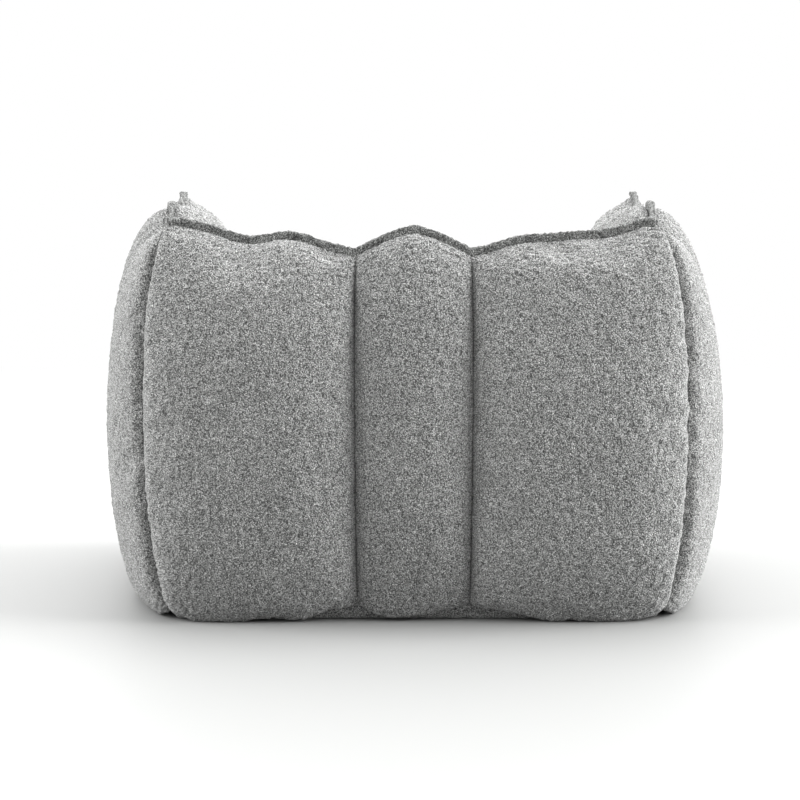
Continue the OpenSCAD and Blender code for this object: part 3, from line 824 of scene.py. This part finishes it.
def crumb_foam(name):
    """Shredded foam crumbs, each with its own tone."""
    n = Nodes(name, roughness=0.9, specular=0.2)
    crumbs = n.texture("Voronoi", Scale=110)
    pores = n.texture("Voronoi", Scale=900)
    tone = n.red(crumbs["Color"])
    colour = n.ramp(tone, [(0.0, (0.62, 0.50, 0.28)), (0.4, (0.80, 0.70, 0.45)),
                           (0.75, (0.86, 0.80, 0.62)), (1.0, (0.55, 0.66, 0.72))])
    # Painted shade in the gaps between the crumbs.
    shade = n.spread(crumbs["Distance"], 0.3, 0.9, 1.0, 0.4)
    colour = n.shaded(colour, shade)
    height = n.math("ADD", n.math("MULTIPLY", crumbs["Distance"], -1.0),
                    n.math("MULTIPLY", pores["Distance"], 0.15))
    return n.finish(colour, height, 0.9, 4 * MM)


def moulded(name, colour, roughness, grain, metallic=0.0):
    """Smooth nylon, plated metal or paint, with fine grain and rubbed patches."""
    n = Nodes(name, roughness=roughness, metallic=metallic)
    rub = n.noise(240, 4, 0.7)["Fac"]
    fine = n.noise(grain, 2)["Fac"]
    low = tuple(c * 0.8 for c in colour)
    final = n.ramp(rub, [(0.35, low), (0.7, colour)])
    worn = n.spread(rub, 0.3, 0.8, roughness * 0.8, min(1, roughness * 1.25))
    n.link(worn, n.shader.inputs["Roughness"])
    return n.finish(final, fine, 0.15, 0.1 * MM)


boucle = boucle_cloth("boucle", (0.62, 0.622, 0.612), (0.30, 0.303, 0.297), (0.075, 0.077, 0.076))
# The welts are the same boucle as the cover, darkened: painted shade on the welts.
welt_boucle_painted_shade = boucle_cloth(
    "welt_boucle_painted_shade", (0.42, 0.425, 0.415), (0.18, 0.183, 0.178), (0.045, 0.047, 0.046))
liner_weave = woven_cloth("liner_weave", (0.80, 0.79, 0.76), (0.72, 0.71, 0.67), 220)
tape_weave = woven_cloth("tape_weave", (0.055, 0.055, 0.060), (0.040, 0.040, 0.044), 420, "XY")
foam = crumb_foam("foam_crumbs")
nylon = moulded("coil_nylon", (0.045, 0.045, 0.05), 0.35, 1500)
plated = moulded("stop_metal", (0.62, 0.62, 0.60), 0.3, 2500, 1.0)
painted = moulded("slider_paint", (0.11, 0.11, 0.115), 0.38, 1800)


# ---- the cover
for name, g in grids.items():
    sewn(cloth_shell(f"cloth_{name}", g), boucle, name, cuts[name])


# ---- welts
def resampled(line, cell):
    """A line's points one cell apart, and how far along it each lies."""
    steps = np.concatenate([[0], np.cumsum(np.linalg.norm(np.diff(line, axis=0), axis=1))])
    n = max(4, int(steps[-1] / cell))
    where = np.linspace(0, steps[-1], n + 1)
    return np.stack([np.interp(where, steps, line[:, k]) for k in range(3)], axis=1), where


def tube_faces(rings, start=0):
    """The sides and the two flat ends of a closed tube through rings of points."""
    n, m = rings.shape[:2]
    i, k = np.arange(n - 1)[:, None] * m + start, np.arange(m)[None]
    a, b = (i + k).ravel(), (i + (k + 1) % m).ravel()
    first = np.arange(m) + start
    return np.stack([a, b, b + m, a + m], axis=1), first[None, ::-1], first[None] + (n - 1) * m


WELT_H = 13 * MM
EAR_TIP = -1 * MM
EAR_THICKER = 1.9
OUTSIDE_POINTS = 15
# The strip folded in two: over the outside of the fold, then back through the slit between its layers.
fin_side = np.array([-3.1, -3.0, -2.7, -2.6, -2.6, -2.3, -1.4, 0, 1.4, 2.3, 2.6, 2.6, 2.7, 3.0, 3.1,
                     0.5, 0.4, 0.4, 0.3, -0.3, -0.4, -0.4, -0.5]) * MM
fin_up = np.array([-5, -1, 2.5, 6, 9, 11.2, 12.6, 13, 12.6, 11.2, 9, 6, 2.5, -1, -5,
                   -5, -1, 4, 9.6, 9.6, 4, -1, -5]) * MM
outside = np.arange(len(fin_up)) < OUTSIDE_POINTS


def welt(name, line, tips, node, knob=None):
    """A folded strip along a line. tips says how much cloth bunches up at each end, and knob
    is a place on the line where it does so too."""
    line, where = resampled(line, 2.6 * MM)
    along = np.gradient(line, axis=0)
    side = unit(np.cross(along, [0, 0, 1]))
    end = where[-1] - where
    reach = 11 * MM
    tip = np.maximum(tips[0] * np.exp(-(where / reach) ** 2), tips[1] * np.exp(-(end / reach) ** 2))
    grow = 1 + tip * EAR_TIP / WELT_H
    thick = 1 + EAR_THICKER * tip
    if knob is not None:
        away = np.linalg.norm(line - knob, axis=1) / (13 * MM)
        thick += EAR_THICKER * np.exp(-away ** 2)
    wave = uneven((len(line), 4), 30)[:, 0] * 14 * MM
    leaning = wave[:, None] * (fin_up > 3 * MM)[None]
    rings = line[:, None] + side[:, None] * (fin_side[None] * thick[:, None] + leaning)[..., None]
    rings[..., 2] += fin_up[None] * grow[:, None]
    out = unit(rings - rings.mean(1, keepdims=True))
    pile = uneven(rings.shape[:2], 1) * 2.2 * MM * outside
    rings = rings + out * pile[..., None]
    rings[..., 2] = np.minimum(rings[..., 2], H)
    round_off = np.clip(1 - np.minimum(where, end) / (5 * MM), 0, 1) ** 2
    middle = rings.mean(1, keepdims=True)
    rings = middle + (rings - middle) * (1 - 0.35 * round_off)[:, None, None]
    sides, first, last = tube_faces(rings)
    outward = [sides[:, [0, 3, 2, 1]], first[:, ::-1], last[:, ::-1]]
    piece = make_mesh(name, rings[:, ::-1], outward)
    # The welt gets the darkened boucle: painted shade.
    placed(piece, welt_boucle_painted_shade, node)


le, re = left_seams["ends"], {key: mirror(line) for key, line in right_seams["ends"].items()}
middle_rim = peak(le["dip"], re["dip"], PEAK_RISE, 24)
back_line = joined(back_rim(1, le, 30), middle_rim, back_rim(-1, re, 30)[::-1])
welt("welt_back", back_line, (1, 1), "back_welt")
for name, ends in (("left", le), ("right", re)):
    tops = [ends["ear"], *ends["dips"], ends["front"]]
    arm_line = joined(*[hump(tops[i], tops[i + 1], (30, 24, 30)[i], *ARM_RIMS[i]) for i in range(3)])
    arm_line = part_of(arm_line, 0.012, 1, 100)
    welt(f"welt_arm_{name}", arm_line, (0.6, 1), f"arm_welt_{name}",
         arm_line[arm_line[:, 2].argmax()])
lip_half = hump(le["lip_seam"], le["lip_corner"], 24, LIP_RISE)[::-1]
lip_mid = hump(le["lip_seam"], mirror(le["lip_seam"]), 16, LIP_RISE)
lip_line = joined(lip_half, lip_mid, mirror(lip_half)[::-1])
welt("welt_seat", part_of(lip_line, 0.012, 0.988, 90), (0, 0), "seat_welt")


# ---- base panels
ZIP_Y = sum(corner.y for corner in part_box("zip_coil")) / 2
TAPE_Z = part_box("zip_tape_front")[0].z
SLOT_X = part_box("zip_tape_front")[1].x + 2 * MM
SLOT = 10 * MM
left_hem = ["seat_front_left", "arm_front_left", "outer_arm_left_front", "outer_arm_left_mid",
            "outer_arm_left_rear", "outer_back_left"]
right_hem = [name.replace("left", "right") for name in left_hem[::-1]]
hem_order = ["seat_front_centre", *left_hem, "outer_back_centre", *right_hem]
hem = joined(*[part_of(gores[name][0], 0, 1, 16) for name in hem_order])


def hem_part(start, end):
    """The hem, anticlockwise from above, between the points nearest two places."""
    a = int(np.linalg.norm(hem - start, axis=1).argmin())
    b = int(np.linalg.norm(hem - end, axis=1).argmin())
    return hem[a:b + 1] if a < b else np.concatenate([hem[a:-1], hem[:b + 1]])


def cut_at(line, y):
    """The number of the point nearest to a y, and the line with that point moved to it."""
    line = line.copy()
    k = np.abs(line[:, 1] - y).argmin()
    line[k, 1] = y
    return k, line


def base_panel(name, side, node):
    """The cloth under the chair, in front of the zip (side -1) or behind it (side 1)."""
    hem_y = ZIP_Y + 0.3 * MM * side
    kl, left_arm = cut_at(hem_part(le["hem_front"], le["hem_ear"]), hem_y)
    kr, right_arm = cut_at(hem_part(re["hem_ear"], re["hem_front"]), hem_y)
    a, b = left_arm[kl], right_arm[kr]
    top = TAPE_Z - 1.5 * MM
    slot_y = ZIP_Y + SLOT * side
    # closing line from the left arm to the right one
    way = np.array([a, [SLOT_X + 2 * MM, hem_y, top], [SLOT_X, slot_y, top], [-SLOT_X, slot_y, top],
                    [-SLOT_X - 2 * MM, hem_y, top], b])
    closing, _ = resampled(way, 4 * MM)
    if side < 0:
        bottom, upper = hem_part(re["hem_front"], le["hem_front"])[::-1], closing
        lefts, rights = left_arm[:kl + 1], right_arm[kr:][::-1]
    else:
        bottom, upper = closing, hem_part(le["hem_ear"], re["hem_ear"])
        lefts, rights = left_arm[kl:], right_arm[:kr + 1][::-1]
    across = 70
    along = 50 if side < 0 else 14
    flat = coons(part_of(bottom, 0, 1, across), part_of(upper, 0, 1, across),
                 part_of(lefts, 0, 1, along), part_of(rights, 0, 1, along))

    def walls(fine):
        """Lays the panel near the floor, from where it rises to the hem in its last 13 mm."""
        shape = fine.copy()
        shape[..., 2] = 0
        u, v = arc(shape, 1), arc(shape, 0)
        d = np.minimum(np.minimum(u, u[:, -1:] - u), np.minimum(v, v[-1:] - v))
        rise = fine[..., 2]
        t = np.clip(1 - d / (13 * MM), 0, 1)
        fine[..., 2] = rise * t**2.2 + 0.9 * MM * (1 - t)
        return fine

    piece = cloth_shell(name, flat, raise_edges=False, cell=4 * MM, curl=0.6, shape=walls)
    sewn(piece, boucle, node, cut_of(flat))


base_panel("base_cloth_front", -1, "base_panel_front")
base_panel("base_cloth_rear", 1, "base_panel_rear")


# ---- stuffing, liners and dividing walls
def swollen(name, node, voxel, rounds):
    """A CAD node's solid as an even mesh with its corners rounded by smoothing."""
    obj = bpy.data.objects.new(name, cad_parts[node].data.copy())
    obj.data.materials.clear()
    scene.collection.objects.link(obj)
    remesh = obj.modifiers.new("even", "REMESH")
    remesh.mode = "VOXEL"
    remesh.voxel_size = voxel
    smooth = obj.modifiers.new("soft", "SMOOTH")
    smooth.factor = 0.5
    smooth.iterations = rounds
    seen = obj.evaluated_get(bpy.context.evaluated_depsgraph_get())
    mesh = bpy.data.meshes.new_from_object(seen)
    obj.modifiers.clear()
    obj.data = mesh
    mesh.polygons.foreach_set("use_smooth", [True] * len(mesh.polygons))
    return obj


def vertex_normals(mesh):
    n = np.empty(len(mesh.vertices) * 3)
    mesh.vertex_normals.foreach_get("vector", n)
    return n.reshape(-1, 3)


def set_points(mesh, co):
    mesh.vertices.foreach_set("co", co.ravel())
    mesh.update()


LINER_THICK = 1.2 * MM
for part in ("back", "arm_left", "arm_right", "seat"):
    pad = swollen(f"stuffing_{part}", f"filling_{part}", 9 * MM, 8)
    co, n = coordinates(pad.data), vertex_normals(pad.data)
    bumpy = random.uniform(-1, 0, len(co))[:, None] * 3 * MM
    set_points(pad.data, co + n * (bumpy - 1.5 * MM))
    placed(pad, foam, f"filling_{part}")
    bag = swollen(f"liner_bag_{part}", f"filling_{part}", 12 * MM, 6)
    co, n = coordinates(bag.data), vertex_normals(bag.data)
    ripple = np.sin(co[:, 0] * 90) * np.sin(co[:, 1] * 80 + 1) * np.sin(co[:, 2] * 70 + 2)
    outer = co + n * (1.6 + 0.8 * ripple[:, None]) * MM
    faces = np.array([list(p.vertices) for p in bag.data.polygons])
    points = np.concatenate([outer, outer - n * LINER_THICK])
    shell = make_mesh(f"liner_{part}_cloth", points, [faces, faces[:, ::-1] + len(co)])
    bpy.data.objects.remove(bag)
    placed(shell, liner_weave, f"liner_{part}")


def wall_sheet(name, start, end, low, high, node):
    """A dividing wall: one layer of liner cloth with a slack ripple."""
    square = 20 * MM
    rows = max(8, int((high - low) / square))
    columns = max(8, int(np.linalg.norm(end - start) / square))
    u = np.linspace(0, 1, columns + 1)[None, :, None]
    v = np.linspace(0, 1, rows + 1)[:, None, None]
    g = start + (end - start) * u + np.array([0, 0, 1]) * (low + (high - low) * v)
    across = unit(np.cross(end - start, [0, 0, 1]))
    slack = np.sin(u * 17 + v * 3) * np.sin(v * math.pi) * np.sin(u * math.pi) * 0.9 * MM
    g = g + across * slack
    piece = cloth_shell(name, g, thick=0.8 * MM, curl=0.03, raise_edges=False, cell=9 * MM)
    sewn(piece, liner_weave, node, cut_of(g))


for node in ("divider_back", "divider_left", "divider_right"):
    lo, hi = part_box(node)
    if node == "divider_back":
        middle = (lo.y + hi.y) / 2
        start, end = p3(lo.x, middle, 0), p3(hi.x, middle, 0)
    else:
        middle = (lo.x + hi.x) / 2
        start, end = p3(middle, lo.y, 0), p3(middle, hi.y, 0)
    wall_sheet(node.replace("divider", "wall"), start, end, lo.z, hi.z, node)
for side, name in ((1, "left"), (-1, "right")):
    lo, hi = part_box(f"corner_divider_{name}")
    xs = (lo.x, hi.x) if side > 0 else (hi.x, lo.x)
    start, end = p3(xs[0] + side * MM, lo.y + MM, 0), p3(xs[1] - side * MM, hi.y - MM, 0)
    wall_sheet(f"wall_corner_{name}", start, end, lo.z, hi.z, f"corner_divider_{name}")


# ---- zip
for name in ("front", "rear"):
    lo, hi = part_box(f"zip_tape_{name}")
    us = np.linspace(lo.x, hi.x, 260)
    vs = np.linspace(hi.y, lo.y, 14)
    g = np.stack(np.broadcast_arrays(us[None], vs[:, None], lo.z), axis=2)
    ridge = np.abs(g[..., 1] - (lo.y + hi.y) / 2) / (hi.y - lo.y)
    g[..., 2] = g[..., 2] + np.where(ridge > 0.44, 0.0, 0.15 * MM)
    piece = cloth_shell(f"tape_{name}", g, thick=0.7 * MM, curl=0.0, raise_edges=False, cell=3 * MM)
    sewn(piece, tape_weave, f"zip_tape_{name}", cut_of(g))


def tube(points, radius, sides=6):
    """Rings of points around a line."""
    along = unit(np.gradient(points, axis=0))
    up = np.where(np.abs(along[:, [2]]) > 0.9, [[1.0, 0, 0]], [[0, 0, 1.0]])
    a = unit(np.cross(along, up))
    b = np.cross(along, a)
    turn = np.linspace(0, 2 * math.pi, sides, endpoint=False)
    c, s = np.cos(turn)[None, :, None], np.sin(turn)[None, :, None]
    return points[:, None] + radius * (a[:, None] * c + b[:, None] * s)


def merge(name, rings_list):
    """One mesh of closed tubes, each through its own rings."""
    points, faces, ends, start = [], [], [], 0
    for rings in rings_list:
        sides, first, last = tube_faces(rings, start)
        faces.append(sides)
        ends += [first, last]
        points.append(rings.reshape(-1, 3))
        start += len(points[-1])
    return make_mesh(name, np.concatenate(points), faces + ends)


lo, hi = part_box("zip_coil")
PITCH = 2.0 * MM
middle_z = (lo.z + hi.z) / 2
inner_edge = 0.9 * MM
outer_edge = hi.y - ZIP_Y
radius = (outer_edge - inner_edge) / 2 - 0.35 * MM
turns = int((hi.x - lo.x) / PITCH)
t = np.linspace(0, turns, turns * 8 + 1)
angle = 2 * math.pi * t
x = lo.x + (hi.x - lo.x) * t / turns
z = middle_z + 0.8 * MM * np.sin(angle)
cord_x = np.linspace(lo.x, hi.x, 60)
coils = []
for side in (-1, 1):
    cord_y = ZIP_Y + side * (inner_edge + outer_edge) / 2
    y = cord_y + side * radius * np.cos(angle)
    coils.append(tube(np.stack([x, y, z], axis=1), 0.36 * MM))
    coils.append(tube(np.stack([cord_x, 0 * cord_x + cord_y, 0 * cord_x + middle_z], axis=1), 0.4 * MM))
placed(merge("coil_chain", coils), nylon, "zip_coil")


TURN = np.linspace(0, 2 * math.pi, 24, endpoint=False)


def squarish(x, centre, half, powers):
    """A ring about an x axis that bulges towards a rectangle, the more so for small powers."""
    c, s = np.cos(TURN), np.sin(TURN)
    ys = centre[0] + half[0] * np.sign(c) * np.abs(c) ** powers[0]
    zs = centre[1] + half[1] * np.sign(s) * np.abs(s) ** powers[1]
    return np.stack([0 * ys + x, ys, zs], axis=1)


def rounded_block(lo, hi, round_by):
    """Rings of a box with rounded edges, swept along x."""
    cy, cz = (lo[1] + hi[1]) / 2, (lo[2] + hi[2]) / 2
    hy, hz = (hi[1] - lo[1]) / 2, (hi[2] - lo[2]) / 2
    rings = []
    for share, shrink in ((0, 1.0), (0.06, 0.35), (0.15, 0.0), (0.85, 0.0), (0.94, 0.35), (1, 1.0)):
        x = lo[0] + (hi[0] - lo[0]) * share
        half = (hy - shrink * round_by, hz - shrink * round_by)
        rings.append(squarish(x, (cy, cz), half, (0.45, 0.45)))
    return np.array(rings)


lo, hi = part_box("zip_end_stops")
stop_l = 4 * MM
blocks = []
for x0 in (lo.x, hi.x - stop_l):
    for k in range(2):
        a = (x0 + k * 2.1 * MM, lo.y + 0.4 * MM, lo.z)
        b = (x0 + k * 2.1 * MM + 1.8 * MM, hi.y - 0.4 * MM, hi.z)
        blocks.append(rounded_block(a, b, 0.5 * MM))
placed(merge("crimped_stops", blocks), plated, "zip_end_stops")

lo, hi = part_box("zip_slider")
body_low = TAPE_Z - (2.4 + 0.35 + 1.6) * MM
plate = 1.6 * MM
length = hi.x - lo.x


def shield(z0, z1):
    """One plate of the slider: wide where the chains come in, narrow where they leave joined."""
    rings = []
    for share, width, inset in ((0, 0.62, 0.5), (0.03, 0.68, 0.15), (0.1, 0.72, 0.0),
                                (0.45, 0.86, 0.0), (0.75, 1.0, 0.0), (0.93, 0.98, 0.0),
                                (0.98, 0.93, 0.15), (1, 0.86, 0.5)):
        half = ((hi.y - lo.y) / 2 * width, (z1 - z0) / 2 * (1 - 0.5 * inset))
        x = lo.x + length * share
        rings.append(squarish(x, (ZIP_Y, (z0 + z1) / 2), half, (0.3, 0.5)))
    return np.array(rings)


post_x = (lo.x + hi.x) / 2
parts = [shield(body_low, body_low + plate), shield(hi.z - plate, hi.z),
         rounded_block((post_x - 3 * MM, ZIP_Y - 0.55 * MM, body_low + plate * 0.8),
                       (post_x + 3 * MM, ZIP_Y + 0.55 * MM, hi.z - plate * 0.8), 0.2 * MM)]
turn = np.linspace(0, math.pi, 17)
loop = np.stack([post_x + 4.2 * MM * np.cos(turn), 0 * turn + ZIP_Y,
                 body_low + 0.6 * MM - 2.6 * MM * np.sin(turn)], axis=1)
parts.append(tube(loop, 0.75 * MM, 10))
placed(merge("slider_body", parts), painted, "zip_slider", "slider")


# ---- stage, light and camera
def stage_material():
    """A pale floor that fades into the white background around a point behind the chair."""
    n = Nodes("pale_floor", roughness=0.6, specular=0.2)
    apart = n.vector("SUBTRACT", n.place, (0.0, 1.5, 0.0))
    length_node = n.add("ShaderNodeVectorMath", operation="LENGTH")
    n.link(apart, length_node.inputs[0])
    far = n.spread(length_node.outputs["Value"], 2.3, 4.9)
    n.shader.inputs["Base Color"].default_value = (0.25, 0.252, 0.249, 1)
    white = n.add("ShaderNodeEmission", Color=(1, 1, 1, 1))
    mix = n.add("ShaderNodeMixShader")
    n.link(far, mix.inputs[0])
    n.link(n.shader.outputs[0], mix.inputs[1])
    n.link(white.outputs[0], mix.inputs[2])
    n.link(mix.outputs[0], next(x for x in n.tree.nodes if x.type == "OUTPUT_MATERIAL").inputs[0])
    return n.material


span = 1500.0
corner = np.array([[-1, -1, 0], [1, -1, 0], [1, 1, 0], [-1, 1, 0]]) * span
floor = make_mesh("floor", corner, [np.array([[0, 1, 2, 3]])], smooth=False)
floor.data.materials.append(stage_material())

world = bpy.data.worlds.new("studio")
scene.world = world
world.use_nodes = True
background = world.node_tree.nodes["Background"].inputs
background["Color"].default_value = (1, 1, 1, 1)
background["Strength"].default_value = 1.0


def soft_light(name, way, strength, softness):
    """Wide, even light from one side, where way points to it."""
    lamp = bpy.data.lights.new(name, "SUN")
    lamp.energy = strength
    lamp.angle = math.radians(softness)
    obj = bpy.data.objects.new(name, lamp)
    obj.rotation_euler = Vector(way).to_track_quat("Z", "Y").to_euler()
    scene.collection.objects.link(obj)


soft_light("overhead", (-0.1, -0.9, 1.0), 4.6, 80)
soft_light("from_right", (-1.0, 0.02, 0.5), 7.8, 50)
soft_light("from_left", (1.0, -0.02, 0.5), 5.0, 50)

camera_data = bpy.data.cameras.new("camera")
camera = bpy.data.objects.new("camera", camera_data)
scene.collection.objects.link(camera)
scene.camera = camera
camera_data.lens = 158.45
camera_data.sensor_width = 36
camera.location = (0.065 * W, 6.66 * D, 1.565 * H)
yaw, pitch = math.radians(-0.467), math.radians(6.843)
look = Vector((math.sin(yaw) * math.cos(pitch), -math.cos(yaw) * math.cos(pitch), -math.sin(pitch)))
camera.rotation_euler = look.to_track_quat("-Z", "Y").to_euler()

scene.view_settings.view_transform = "Standard"
scene.view_settings.look = "None"
scene.frame_set(1)
